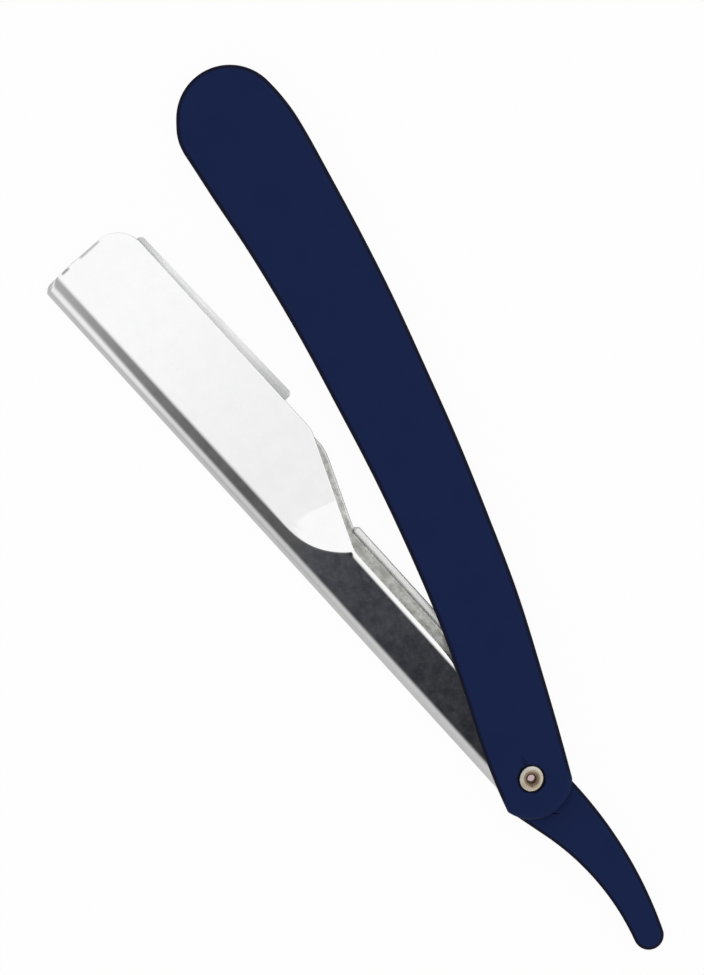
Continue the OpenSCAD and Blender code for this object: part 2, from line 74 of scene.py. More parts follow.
# Blade arm
OPEN_ANGLE = math.radians(17.9)
SHEET_T, FOLD_R, SPINE = 0.5, 1.9, 5.55
SHANK_EDGE, ARM_END_R = 3.72, 6.3
CURL_W, CURL_BOW, LIP_W, LIP_SLOPE = 1.6, 0.019, 0.4, 0.30
SHANK_LEN, SHOULDER_END, ARM_LEN = 49.3, 69.7, 118.55
HEAD_EDGE_HEEL, HEAD_EDGE_TIP = 12.35, 12.25
TIP_R, SPINE_TIP_R = 5.4, 2.5
EDGE_BRIM, TIP_BRIM = 0.10, 0.14
ROLL_GROWTH, ROLL_START, ROLL_END = 0.3, 88.0, 117.0
CREASE_Y, CREASE_SOFT, CREASE_DRIFT, CREASE_FROM = 2.25, 0.85, 0.0055, 52.727
PANEL_FALL = 0.75
PANEL_SLOPE = PANEL_FALL / (HEAD_EDGE_HEEL + CREASE_Y)
SCOOP_X, SCOOP_Y, SCOOP_R = 61.77, -12.08, 14.6
SCOOP_FOOT, SCOOP_TOP, SCOOP_FADE = -0.45, 1.60, 6.0
DISH_SLOPE, DISH_START, DISH_END, DISH_SLANT = 0.024, 53.0, 60.8, 0.405

# Tail
TAIL_LEN, TAIL_TIP_R, TAIL_RIM_R = 36.1, 2.6, 0.7
TAIL_BOW_R, TAIL_BOW_X, TAIL_BOW_Y = 72.0, 6.5, 4.9
TAIL_HOLLOW_R, TAIL_HOLLOW_Y = 44.0, 3.6
TAIL_SEAT_R, TAIL_ROOT_X, TAIL_ROOT_SLANT = 6.35, -2.2, math.radians(13.8)

# Blade carrier
PLATE_LOW, PLATE_TOP = -0.3, 0.2
STEM_HALF, EYE_R = 2.6, 3.5
TAB_EDGE, TAB_START, TAB_END, TAB_RAMP = 7.2, 26.0, 52.5, 5.0
BEAD_R, BEAD_START, BEAD_SQUARE = 0.65, math.radians(40), 0.72
FILLET_W, FILLET_RUN = 0.35, 0.84
FLARE, FLARE_START, FLARE_END = 0.75, 67.0, 76.0
CARRIER_SHOW, CARRIER_EDGE, CARRIER_TIP, CARRIER_TIP_R = 1.35, 11.25, 117.25, 4.0

# Camera: the photograph is 704 by 975 pixels at 0.172 mm a pixel, seen square from the front
PHOTO_HEIGHT = 0.1677
PHOTO_CENTRE = (0.0582, 0.0074)
PHOTO_UP = (0.9107, -0.4131)
LENS = 300.0
FLOOR_Z = -SCALE_OUT * MM


# Plane geometry

def direction(a):
    """Unit vectors at the angles a, as rows."""
    return np.stack([np.cos(a), np.sin(a)], axis=-1)


def bearing(p, q):
    """Angle of the way from p to q."""
    return math.atan2(q[1] - p[1], q[0] - p[0])


def arc(c, r, a0, a1, n):
    """n points of a circle about c, evenly from angle a0 towards a1, without the last one."""
    return np.asarray(c) + r * direction(a0 + (a1 - a0) * np.arange(n) / n)


def crossing(c1, r1, c2, r2):
    """Crossing of two circles on the left of the way from c1 to c2."""
    c1, c2 = np.asarray(c1, float), np.asarray(c2, float)
    d = np.linalg.norm(c2 - c1)
    e = (c2 - c1) / d
    a = (r1 * r1 - r2 * r2 + d * d) / (2 * d)
    return c1 + a * e + math.sqrt(r1 * r1 - a * a) * np.array([-e[1], e[0]])


def smoothstep(x, x0, x1):
    """0 before x0 and 1 after x1, with the cubic 3t^2 - 2t^3 between."""
    t = np.clip((x - x0) / (x1 - x0), 0, 1)
    return t * t * (3 - 2 * t)


def soft_max(a, b, k):
    """The larger of a and b, with the corner rounded by a hyperbola of width k."""
    return 0.5 * (a + b + np.sqrt((a - b) ** 2 + k * k))


def soft_min(a, b, k):
    """The smaller of a and b, with the corner rounded by a hyperbola of width k."""
    return -soft_max(-a, -b, k)


def turned_open(p):
    """Points of the arm, turned from its own axes to the razor's frame about the eyelet."""
    c, s = math.cos(OPEN_ANGLE), math.sin(OPEN_ANGLE)
    x, y, z = p[..., 0], p[..., 1], p[..., 2]
    return np.stack([c * x - s * y, s * x + c * y, z], axis=-1)


def at_height(loop, z):
    """Plane outline lifted to the height z."""
    return np.concatenate([loop, np.full((len(loop), 1), z)], axis=1)


# Meshes

def grid_quads(rows, cols, wrap_rows, wrap_cols):
    """Corner numbers of the quads between neighbours on a grid, closed on itself where asked."""
    i = np.arange(rows if wrap_rows else rows - 1)[:, None]
    j = np.arange(cols if wrap_cols else cols - 1)[None, :]
    i1, j1 = (i + 1) % rows, (j + 1) % cols
    corners = [i * cols + j, i1 * cols + j, i1 * cols + j1, i * cols + j1]
    return np.stack([c.ravel() for c in corners], axis=1)


def make_piece(name, patches, body, material, stands_for=(), sharp=35.0):
    """One object from grid patches (points, wrap_rows, wrap_cols, rim), welded where they meet.

    The points are millimetres in the razor's frame. rim is None or a value for each point, kept
    as the point attribute "rim". A patch may end with a mask of the quads to leave out. Normals
    are turned outwards and edges over `sharp` stay sharp.
    """
    points, quads, rims, count = [], [], [], 0
    for grid, wrap_rows, wrap_cols, rim, *cut in patches:
        rows, cols = grid.shape[:2]
        points.append(grid.reshape(-1, 3) * MM)
        corners = grid_quads(rows, cols, wrap_rows, wrap_cols) + count
        quads.append(corners[~cut[0].ravel()] if cut else corners)
        value = np.zeros((rows, cols)) if rim is None else np.broadcast_to(rim, (rows, cols))
        rims.append(value.ravel())
        count += rows * cols
    points, quads, rims = np.concatenate(points), np.concatenate(quads), np.concatenate(rims)

    mesh = bpy.data.meshes.new(name)
    mesh.vertices.add(len(points))
    mesh.vertices.foreach_set("co", points.astype(np.float32).ravel())
    mesh.loops.add(quads.size)
    mesh.loops.foreach_set("vertex_index", quads.astype(np.int32).ravel())
    mesh.polygons.add(len(quads))
    mesh.polygons.foreach_set("loop_start", np.arange(0, quads.size, 4, dtype=np.int32))
    mesh.update(calc_edges=True)
    attribute = mesh.attributes.new("rim", "FLOAT", "POINT")
    attribute.data.foreach_set("value", rims.astype(np.float32))

    welded = bmesh.new()
    welded.from_mesh(mesh)
    bmesh.ops.remove_doubles(welded, verts=welded.verts, dist=2e-7)
    bmesh.ops.recalc_face_normals(welded, faces=welded.faces)
    welded.to_mesh(mesh)
    welded.free()
    mesh.polygons.foreach_set("use_smooth", np.ones(len(mesh.polygons), dtype=bool))
    mesh.set_sharp_from_angle(angle=math.radians(sharp))
    mesh.materials.append(material)
    mesh.validate()

    piece = bpy.data.objects.new(name, mesh)
    bpy.context.scene.collection.objects.link(piece)
    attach(piece, body)
    if stands_for:
        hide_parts(*stands_for)
    return piece


def revolved(profile, angles):
    """Profile of (radius, height) rows turned through the angles about the eyelet's axis."""
    around = direction(angles)
    r = profile[:, 0][:, None, None]
    z = np.broadcast_to(profile[:, 1][:, None, None], (len(profile), len(angles), 1))
    return np.concatenate([r * around[None], z], axis=-1)


# Shader helpers

def set_up_material(name):
    """New node material with an empty tree and its output."""
    material = bpy.data.materials.new(name)
    material.use_nodes = True
    tree = material.node_tree
    tree.nodes.clear()
    output = tree.nodes.new("ShaderNodeOutputMaterial")
    return material, tree, output


def add_node(tree, kind, inputs=(), **settings):
    """Node of a kind with its settings. An input is a value, or a socket to link from."""
    node = tree.nodes.new(kind)
    for key, value in settings.items():
        setattr(node, key, value)
    for key, value in dict(inputs).items():
        if isinstance(value, bpy.types.NodeSocket):
            tree.links.new(value, node.inputs[key])
        else:
            node.inputs[key].default_value = value
    return node


def maths(tree, operation, *values):
    """Math node: the operation on numbers or sockets."""
    return add_node(tree, "ShaderNodeMath", dict(enumerate(values)), operation=operation).outputs[0]


def ranged(tree, value, low, high, to_low, to_high, ease="SMOOTHSTEP"):
    """Map Range node from low..high to to_low..to_high, held at the ends."""
    return add_node(tree, "ShaderNodeMapRange", {
        "Value": value, "From Min": low, "From Max": high, "To Min": to_low, "To Max": to_high,
    }, interpolation_type=ease, clamp=True).outputs["Result"]


def mixed(tree, share, first, second):
    """Colour mix of two colours or sockets: 6, 7 and 2 are the node's colour sockets."""
    node = tree.nodes.new("ShaderNodeMix")
    node.data_type = "RGBA"
    sockets = {"Factor": node.inputs[0], "A": node.inputs[6], "B": node.inputs[7]}
    for key, value in (("Factor", share), ("A", first), ("B", second)):
        if isinstance(value, bpy.types.NodeSocket):
            tree.links.new(value, sockets[key])
        else:
            sockets[key].default_value = value
    return node.outputs[2]


def grain_group():
    """Fine even grain: two octaves of noise, as a height and as a slow cloud over the surface."""
    group = bpy.data.node_groups.new("fine_grain", "ShaderNodeTree")
    group.interface.new_socket("Vector", in_out="INPUT", socket_type="NodeSocketVector")
    group.interface.new_socket("Grain Scale", in_out="INPUT", socket_type="NodeSocketFloat")
    group.interface.new_socket("Cloud Scale", in_out="INPUT", socket_type="NodeSocketFloat")
    group.interface.new_socket("Height", in_out="OUTPUT", socket_type="NodeSocketFloat")
    group.interface.new_socket("Cloud", in_out="OUTPUT", socket_type="NodeSocketFloat")
    source = group.nodes.new("NodeGroupInput")
    result = group.nodes.new("NodeGroupOutput")
    grain = add_node(group, "ShaderNodeTexNoise", {
        "Vector": source.outputs["Vector"], "Scale": source.outputs["Grain Scale"],
        "Detail": 2.0, "Roughness": 0.6})
    cloud = add_node(group, "ShaderNodeTexNoise", {
        "Vector": source.outputs["Vector"], "Scale": source.outputs["Cloud Scale"],
        "Detail": 3.0, "Roughness": 0.55})
    group.links.new(grain.outputs["Fac"], result.inputs["Height"])
    spread = ranged(group, cloud.outputs["Fac"], 0.3, 0.7, 0.0, 1.0)
    group.links.new(spread, result.inputs["Cloud"])
    return group


def streak_group():
    """Streaks along one direction: noise squeezed along it by Draw, kept only at its crests."""
    group = bpy.data.node_groups.new("drawn_streaks", "ShaderNodeTree")
    group.interface.new_socket("Vector", in_out="INPUT", socket_type="NodeSocketVector")
    group.interface.new_socket("Line Scale", in_out="INPUT", socket_type="NodeSocketFloat")
    group.interface.new_socket("Turn", in_out="INPUT", socket_type="NodeSocketFloat")
    group.interface.new_socket("Draw", in_out="INPUT", socket_type="NodeSocketFloat")
    group.interface.new_socket("Lines", in_out="OUTPUT", socket_type="NodeSocketFloat")
    source = group.nodes.new("NodeGroupInput")
    result = group.nodes.new("NodeGroupOutput")
    turn = add_node(group, "ShaderNodeVectorRotate", {
        "Vector": source.outputs["Vector"], "Angle": source.outputs["Turn"]},
        rotation_type="Z_AXIS")
    squeeze = add_node(group, "ShaderNodeCombineXYZ", {
        "X": source.outputs["Draw"], "Y": 1.0, "Z": 1.0})
    drawn = add_node(group, "ShaderNodeVectorMath", {
        0: turn.outputs["Vector"], 1: squeeze.outputs["Vector"]}, operation="MULTIPLY")
    lines = add_node(group, "ShaderNodeTexNoise", {
        "Vector": drawn.outputs["Vector"], "Scale": source.outputs["Line Scale"],
        "Detail": 4.0, "Roughness": 0.7})
    crests = ranged(group, lines.outputs["Fac"], 0.45, 0.75, 0.0, 1.0)
    group.links.new(crests, result.inputs["Lines"])
    return group


GRAIN = grain_group()
STREAKS = streak_group()


def grain_of(tree, vector, grain_scale, cloud_scale):
    """The fine_grain group placed in a material."""
    return add_node(tree, "ShaderNodeGroup", {
        "Vector": vector, "Grain Scale": grain_scale, "Cloud Scale": cloud_scale},
        node_tree=GRAIN)


def lines_of(tree, vector, line_scale, turn, draw=0.03):
    """The drawn_streaks group placed in a material: hair lines, or blotches with a larger draw."""
    return add_node(tree, "ShaderNodeGroup", {
        "Vector": vector, "Line Scale": line_scale, "Turn": turn, "Draw": draw}, node_tree=STREAKS)


def object_place(tree):
    """Object coordinates, in metres of the razor's frame."""
    return tree.nodes.new("ShaderNodeTexCoord").outputs["Object"]


def navy_plastic():
    """Matte moulded plastic: faint clouds and a fine spark-eroded grain; rims painted darker as shade,
    and smoother.
    """
    material, tree, output = set_up_material("navy_plastic")
    place = object_place(tree)
    grain = grain_of(tree, place, 5200.0, 160.0)
    rim = add_node(tree, "ShaderNodeAttribute", attribute_name="rim").outputs["Fac"]
    face = mixed(tree, grain.outputs["Cloud"], (0.0021, 0.0090, 0.0500, 1), (0.0031, 0.0106, 0.0550, 1))
    # Painted shade: the rim attribute mixes the face colour towards near-black navy.
    colour = mixed(tree, rim, face, (0.0016, 0.0024, 0.0145, 1))
    rough_face = ranged(tree, grain.outputs["Cloud"], 0.0, 1.0, 0.50, 0.58, "LINEAR")
    rough = maths(tree, "MULTIPLY_ADD", rim, 0.12, rough_face)
    bump = add_node(tree, "ShaderNodeBump", {
        "Height": grain.outputs["Height"], "Strength": 0.12, "Distance": 0.00005})
    shader = add_node(tree, "ShaderNodeBsdfPrincipled", {
        "Base Color": colour, "Roughness": rough, "Normal": bump.outputs["Normal"],
        "IOR": 1.25})
    tree.links.new(shader.outputs[0], output.inputs["Surface"])
    return material


def polished_steel():
    """Mirror-polished sheet: hair lines and a faint bloom lift its roughness, a thin film of dust
    shows where the mirror is dark, and two stretches of the tip's edge are painted greyer as shade."""
    material, tree, output = set_up_material("polished_steel")
    place = object_place(tree)
    lines = lines_of(tree, place, 2600.0, -OPEN_ANGLE)
    grain = grain_of(tree, place, 1400.0, 420.0)
    bloom = maths(tree, "MULTIPLY_ADD", grain.outputs["Cloud"], 0.012, 0.018)
    lined = maths(tree, "MULTIPLY_ADD", lines.outputs["Lines"], 0.016, bloom)
    specks = ranged(tree, grain.outputs["Height"], 0.66, 0.80, 0.0, 0.05)
    rough = maths(tree, "ADD", lined, specks)
    painted_edge_tone = add_node(tree, "ShaderNodeAttribute", attribute_name="rim").outputs["Fac"]
    bright = mixed(tree, grain.outputs["Cloud"], (0.940, 0.940, 0.945, 1), (0.962, 0.962, 0.962, 1))
    # Painted shade: the stretches of the tip's edge are mixed towards grey.
    colour = mixed(tree, painted_edge_tone, bright, (0.40, 0.40, 0.40, 1))
    film = maths(tree, "MULTIPLY", grain.outputs["Cloud"], 0.022)
    dust = ranged(tree, grain.outputs["Height"], 0.40, 0.85, 0.0, 0.022)
    metal = maths(tree, "SUBTRACT", 1.0, maths(tree, "ADD", film, dust))
    bump = add_node(tree, "ShaderNodeBump", {
        "Height": lines.outputs["Lines"], "Strength": 0.01, "Distance": 0.000005})
    shader = add_node(tree, "ShaderNodeBsdfPrincipled", {
        "Base Color": colour, "Roughness": rough, "Metallic": metal,
        "Normal": bump.outputs["Normal"]})
    tree.links.new(shader.outputs[0], output.inputs["Surface"])
    return material


def dull_steel():
    """Tumbled sheet: grey blotches drawn out along the arm, a pitted grain and edges painted bright as a
    highlight.
    """
    material, tree, output = set_up_material("dull_steel")
    place = object_place(tree)
    grain = grain_of(tree, place, 2600.0, 620.0)
    lines = lines_of(tree, place, 1500.0, -OPEN_ANGLE)
    blotch = lines_of(tree, place, 900.0, -OPEN_ANGLE, 0.3)
    painted_edge_tone = add_node(tree, "ShaderNodeAttribute", attribute_name="rim").outputs["Fac"]
    cloud = mixed(tree, grain.outputs["Cloud"], (0.60, 0.60, 0.56, 1), (0.97, 0.97, 0.93, 1))
    stained = mixed(tree, blotch.outputs["Lines"], cloud, (0.50, 0.495, 0.455, 1))
    pit = ranged(tree, grain.outputs["Height"], 0.3, 0.45, 0.0, 1.0)
    pitted = mixed(tree, pit, (0.58, 0.58, 0.55, 1), stained)
    # Painted highlight: the rounded edges and the bead are mixed towards light grey.
    colour = mixed(tree, painted_edge_tone, pitted, (0.88, 0.88, 0.87, 1))
    dulled = maths(tree, "MULTIPLY_ADD", lines.outputs["Lines"], 0.12, 0.30)
    rough = maths(tree, "MULTIPLY_ADD", painted_edge_tone, 0.20, dulled)
    metal = maths(tree, "MULTIPLY_ADD", painted_edge_tone, -0.45, 1.0)
    off_the_edges = maths(tree, "SUBTRACT", 1.0, painted_edge_tone)
    height = maths(tree, "MULTIPLY", grain.outputs["Height"], off_the_edges)
    bump = add_node(tree, "ShaderNodeBump", {
        "Height": height, "Strength": 0.12, "Distance": 0.00003})
    shader = add_node(tree, "ShaderNodeBsdfPrincipled", {
        "Base Color": colour, "Roughness": rough, "Metallic": metal,
        "Normal": bump.outputs["Normal"]})
    tree.links.new(shader.outputs[0], output.inputs["Surface"])
    return material


def blade_steel():
    """Ground strip: satin, with fine lines along its length, and painted greyer towards both ends as
    shade.
    """
    material, tree, output = set_up_material("blade_steel")
    place = object_place(tree)
    lines = lines_of(tree, place, 3000.0, -OPEN_ANGLE - math.radians(1.3))
    grain = grain_of(tree, place, 4000.0, 260.0)
    along = add_node(tree, "ShaderNodeVectorRotate", {"Vector": place, "Angle": -OPEN_ANGLE},
                     rotation_type="Z_AXIS")
    reach = add_node(tree, "ShaderNodeSeparateXYZ", {0: along.outputs["Vector"]}).outputs["X"]
    clouded = mixed(tree, grain.outputs["Cloud"], (0.89, 0.895, 0.90, 1), (0.95, 0.95, 0.955, 1))
    # Painted shade: the heel and the toe are mixed towards grey.
    heel = ranged(tree, reach, 0.076, 0.090, 0.72, 0.0)
    toe = ranged(tree, reach, 0.106, 0.114, 0.0, 0.62)
    colour = mixed(tree, maths(tree, "ADD", heel, toe), clouded, (0.52, 0.525, 0.53, 1))
    rough = maths(tree, "MULTIPLY_ADD", lines.outputs["Lines"], 0.10, 0.34)
    bump = add_node(tree, "ShaderNodeBump", {
        "Height": lines.outputs["Lines"], "Strength": 0.03, "Distance": 0.00001})
    shader = add_node(tree, "ShaderNodeBsdfPrincipled", {
        "Base Color": colour, "Roughness": rough, "Metallic": 0.72,
        "Normal": bump.outputs["Normal"]})
    tree.links.new(shader.outputs[0], output.inputs["Surface"])
    return material


def brass(name, bright, deep, low_rough):
    """Spun brass: painted light and shade, bright on the far side of the eyelet and darker on the near
    one, clouded, and rougher where the grain is deep; inside the funnel it is painted browner as shade."""
    material, tree, output = set_up_material(name)
    place = object_place(tree)
    grain = grain_of(tree, place, 5000.0, 900.0)
    rim = add_node(tree, "ShaderNodeAttribute", attribute_name="rim").outputs["Fac"]
    towards = add_node(tree, "ShaderNodeVectorMath", {0: place, 1: (0.936, 0.352, 0.0)},
                       operation="DOT_PRODUCT").outputs["Value"]
    # Painted light and shade: the far side of the eyelet lighter, the near side darker.
    side = ranged(tree, towards, -2.4 * MM, 2.0 * MM, 0.75, 0.0)
    tarnish_and_painted_shade = maths(tree, "MULTIPLY_ADD", grain.outputs["Cloud"], 0.25, side)
    toned = mixed(tree, tarnish_and_painted_shade, bright, deep)
    # Painted shade: the rim attribute mixes the eyelet's mouth towards dark brown.
    colour = mixed(tree, rim, toned, (0.34, 0.25, 0.17, 1))
    rough = ranged(tree, grain.outputs["Height"], 0.2, 0.8, low_rough, low_rough + 0.15, "LINEAR")
    bump = add_node(tree, "ShaderNodeBump", {
        "Height": grain.outputs["Height"], "Strength": 0.15, "Distance": 0.00003})
    shader = add_node(tree, "ShaderNodeBsdfPrincipled", {
        "Base Color": colour, "Roughness": rough, "Metallic": 1.0,
        "Normal": bump.outputs["Normal"]})
    tree.links.new(shader.outputs[0], output.inputs["Surface"])
    return material


NAVY = navy_plastic()
STEEL = polished_steel()
DULL = dull_steel()
BLADE = blade_steel()
EYELET_BRASS = brass("eyelet_brass", (0.75, 0.735, 0.66, 1), (0.54, 0.455, 0.33, 1), 0.34)
WASHER_BRASS = brass("washer_brass", (0.72, 0.58, 0.33, 1), (0.62, 0.48, 0.26, 1), 0.30)


# Handle

def swelled(points, swells):
    """Points of one long edge, moved sideways by bell curves of (place, height, width)."""
    x = points[:, :1]
    shift = sum(height * np.exp(-((x - place) / width) ** 2) for place, height, width in swells)
    return points + shift * np.array([0.0, 1.0])


def handle_outline(d):
    """Outline of a scale moved in by d, counter-clockwise: arcs that run into each other along the
    back edge, round the far end, home along the front edge and round the eyelet, with the slight
    swells of the moulded edges."""
    origin = np.zeros(2)
    front_c = np.array([WAIST_X, WAIST_FRONT + FRONT_R])
    throat_a = -math.pi / 2 + math.asin((THROAT_X - WAIST_X) / FRONT_R)
    throat_c = front_c + (FRONT_R - THROAT_R) * direction(throat_a)
    heel_a = -math.pi / 2 + math.asin((HEEL_X - throat_c[0]) / THROAT_R)
    heel_c = throat_c + (THROAT_R + HEEL_R) * direction(heel_a)
    back_c = np.array([BELLY_X, BACK_R - BELLY])
    crown_x = HANDLE_LEN - CROWN_R
    crown_front = front_c[1] - math.sqrt(FRONT_R ** 2 - (crown_x - WAIST_X) ** 2)
    crown_back = back_c[1] - math.sqrt(BACK_R ** 2 - (crown_x - BELLY_X) ** 2)
    crown_c = np.array([crown_x, (crown_front + crown_back) / 2])
    brow_c = crown_c - (BROW_R - CROWN_R) * direction(BROW_ANGLE)
    end_front_c = crossing(front_c, FRONT_R + END_FRONT_R, brow_c, BROW_R - END_FRONT_R)
    end_back_c = crossing(crown_c, END_BACK_R - CROWN_R, back_c, BACK_R - END_BACK_R)
    heel_corner = crossing(heel_c, HEEL_R - d, origin, PIVOT_END_R - d)
    back_corner = crossing(origin, PIVOT_END_R - d, back_c, BACK_R - d)
    crown_a, corner_a = bearing(end_back_c, crown_c), bearing(brow_c, end_front_c)
    back = np.concatenate([
        arc(back_c, BACK_R - d, bearing(back_c, back_corner), bearing(back_c, end_back_c), 150),
        arc(end_back_c, END_BACK_R - d, bearing(back_c, end_back_c), crown_a, 20),
        arc(crown_c, CROWN_R - d, crown_a, BROW_ANGLE, 60)])
    front = np.concatenate([
        arc(brow_c, BROW_R - d, BROW_ANGLE, corner_a, 8),
        arc(end_front_c, END_FRONT_R - d, corner_a, bearing(end_front_c, front_c), 16),
        arc(front_c, FRONT_R + d, bearing(front_c, end_front_c), throat_a, 100),
        arc(throat_c, THROAT_R + d, throat_a, heel_a, 40),
        arc(heel_c, HEEL_R - d, heel_a + math.pi, bearing(heel_c, heel_corner), 24),
        arc(origin, PIVOT_END_R - d, bearing(origin, heel_corner),
            bearing(origin, back_corner) + 2 * math.pi, 72)])
    return np.concatenate([swelled(back, BACK_SWELLS), swelled(front, FRONT_SWELLS)])


def face_core(outline, hole_r):
    """Where the lines from the outline across a flat face end: near the eyelet on a circle of
    radius hole_r, and further out at even steps of a parabola along the middle of the handle, so
    that both halves of the face meet in the same points."""
    x, y = outline[:, 0], outline[:, 1]
    near = x <= PIVOT_ZONE_X
    angle = np.mod(np.arctan2(y, x), 2 * math.pi)
    low, high = angle[near].min(), angle[near].max()
    circle = hole_r * direction(2 * math.pi * (angle - low) / (high - low))
    far_x = HANDLE_LEN - CROWN_R
    along = (x - PIVOT_ZONE_X) / (HANDLE_LEN - PIVOT_ZONE_X)
    span = np.round(along * CORE_STEPS) / CORE_STEPS
    line = np.stack([hole_r + span * (far_x - hole_r), -4 * CENTRE_SAG * span * (1 - span)], axis=1)
    return np.where(near[:, None], circle, line), np.sort(angle[near])


def scale_shell(name, side, seat, node):
    """One scale: inner face, slot edge, outer wall, round rim and outer face as rings of the
    outline, and the eyelet's seat and hole as a turned profile. side is 1 in front, -1 behind."""
    outline = handle_outline(0.0)
    slot = np.radians(np.linspace(0, 90, 5))
    rim = np.radians(np.linspace(0, 90, 13))
    hole_edge = FLANGE_HOLE_R + HOLE_CHAMFER
    inner_core, angles = face_core(outline, PIVOT_HOLE_R)
    outer_core, _ = face_core(outline, hole_edge)
    flat = handle_outline(SCALE_RIM_R + FLAT_MARGIN)
    rings = [at_height(inner_core, SCALE_IN)]
    rings += [at_height(handle_outline(SLOT_RIM_R * (1 - math.sin(a))),
                        SCALE_IN + SLOT_RIM_R * (1 - math.cos(a))) for a in slot]
    rings += [at_height(handle_outline(SCALE_RIM_R * (1 - math.cos(a))),
                        SCALE_OUT - SCALE_RIM_R * (1 - math.sin(a))) for a in rim]
    rings += [at_height(flat, SCALE_OUT), at_height(outer_core + 0.08 * (flat - outer_core), SCALE_OUT),
              at_height(outer_core, SCALE_OUT)]
    # Painted shade: 1 on the slot edges and walls, fading over the round rim to 0 on the faces; over_tail
    # leaves it off where the scale's end lies over the tail.
    shade = [0.0] + [1.0] * len(slot) + list(1 - smoothstep(np.degrees(rim), 52, 90)) + [0.0] * 3
    over_tail = smoothstep(-outline[:, 0], 0.5, 3.0)
    shade = np.array(shade)[:, None] * (1 - over_tail)[None]
    turn = 2 * math.pi * (angles - angles[0]) / (angles[-1] - angles[0])
    profile = np.array([[hole_edge, SCALE_OUT], [FLANGE_HOLE_R, SCALE_OUT - HOLE_CHAMFER],
                        [FLANGE_HOLE_R, seat], [PIVOT_HOLE_R, seat], [PIVOT_HOLE_R, SCALE_IN]])
    lift = np.array([1.0, 1.0, side])
    patches = [(np.stack(rings) * lift, False, True, shade),
               (revolved(profile, turn) * lift, False, False, 1.0)]
    return make_piece(name, patches, "handle", NAVY, (node,))


def wedge_block():
    """Block between the scales: the far end's outline and the circle that the arm's tip sweeps,
    joined by an upper and a lower face."""
    loop = handle_outline(WEDGE_INSET)
    far = loop[np.linalg.norm(loop, axis=1) > WEDGE_FACE_R]
    ends = [WEDGE_FACE_R * direction(bearing((0, 0), far[i])) for i in (0, -1)]
    far = np.concatenate([ends[:1], far, ends[1:]])
    turn = np.linspace(bearing((0, 0), ends[0]), bearing((0, 0), ends[1]), len(far))
    face = WEDGE_FACE_R * direction(turn)
    half = SCALE_IN
    rows = [at_height(far, half), at_height(far, -half), at_height(face, -half), at_height(face, half)]
    # Painted shade: the whole block takes 0.7 of the rims' darker colour.
    return make_piece("wedge_block", [(np.stack(rows), True, False, 0.7)], "handle",
                      NAVY, ("end_wedge",))


def eyelet_roll():
    """Set eyelet: barrel, domed flanges and funnels as a turned profile, with the funnel narrowing
    by the square root of its depth. The flange is out of round by a cosine of twice the angle, and
    the rolled lip has one small split, a bell curve."""
    dome = np.radians(np.linspace(-90, 90, 9))
    crown = np.linspace(0, 1, 9)[1:]
    outer = FLANGE_R - FLANGE_EDGE_R + FLANGE_EDGE_R * np.cos(dome)
    outer_z = EYELET_FACE - CROWN_RISE - FLANGE_EDGE_R + FLANGE_EDGE_R * np.sin(dome)
    lip = BORE_R + MOUTH_W
    crown_r = outer[-1] + (lip - outer[-1]) * crown
    swell = CROWN_RISE * np.sin(math.pi * crown)
    crown_z = EYELET_FACE - CROWN_RISE + swell - LIP_FALL * crown ** 6
    funnel = np.linspace(0, 1, 8)[1:]
    funnel_r = lip + (BORE_R - lip) * np.sqrt(funnel)
    funnel_z = crown_z[-1] + (EYELET_FACE - MOUTH_DEPTH - crown_z[-1]) * funnel
    r = np.concatenate([[BARREL_R], outer, crown_r, funnel_r])
    z = np.concatenate([[EYELET_SEAT], outer_z, crown_z, funnel_z])
    # Painted shade: the crown darkens towards the lip, and the funnel is darkest at its mouth.
    dark = np.concatenate([np.zeros(1 + len(outer)), smoothstep(crown, 0.40, 0.90),
                           1 - 0.95 * np.sqrt(funnel)])
    profile = np.stack([np.concatenate([r, r[::-1]]), np.concatenate([z, -z[::-1]])], axis=1)
    dark = np.concatenate([dark, dark[::-1]])
    turn = np.linspace(0, 2 * math.pi, 145)[:-1]
    points = revolved(profile, turn)
    radius = profile[:, 0][:, None]
    oval = OVAL * np.cos(2 * (turn + OVAL_TURN)) - FLANGE_TRIM
    out_of_round = oval[None] * smoothstep(radius, 1.3, 2.1)
    split_at = np.angle(np.exp(1j * (turn - SPLIT_TURN)))
    split = SPLIT_DEPTH * np.exp(-(split_at / SPLIT_W) ** 2)[None]
    split = split * smoothstep(radius, 0.66, 1.0) * (1 - smoothstep(radius, 1.25, 1.75))
    grow = 1 + (out_of_round + split) / radius
    points = points * np.stack([grow, grow, np.ones_like(grow)], axis=-1)
    return make_piece("eyelet_roll", [(points, True, True, dark[:, None])], "handle",
                      EYELET_BRASS, ("pivot_eyelet",), sharp=50.0)


# Tail

